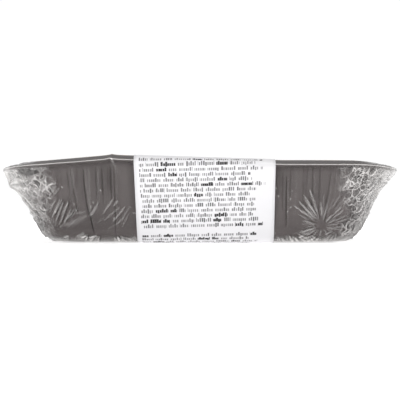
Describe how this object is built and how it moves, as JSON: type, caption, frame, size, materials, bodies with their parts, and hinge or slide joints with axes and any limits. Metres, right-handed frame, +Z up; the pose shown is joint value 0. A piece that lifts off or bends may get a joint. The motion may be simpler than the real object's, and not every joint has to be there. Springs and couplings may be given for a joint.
{
  "type": "film-wrapped foil tray meal",
  "caption": "Baked pasta meal in a dark tapered foil tray with a flanged rim, shut in clear crumpled shrink film, with a white label band over the top, front and base.",
  "frame": {"origin": "under the middle of the pack, on the surface that it rests on", "axes": "+Z up, +X along the tray's long side, the label's printed face towards -Y"},
  "size_m": [0.19, 0.1406, 0.0422],
  "materials": {
    "dark_foil": "satin dark lacquer on pressed foil",
    "baked_pasta": "moist baked cream sauce with browned patches",
    "clear_film": "glossy clear shrink film",
    "label_paper": "smooth white paper"
  },
  "bodies": {
    "root": {"tray": "dark_foil", "pasta_bake": "baked_pasta", "film": "clear_film", "label": "label_paper"}
  },
  "joints": []
}
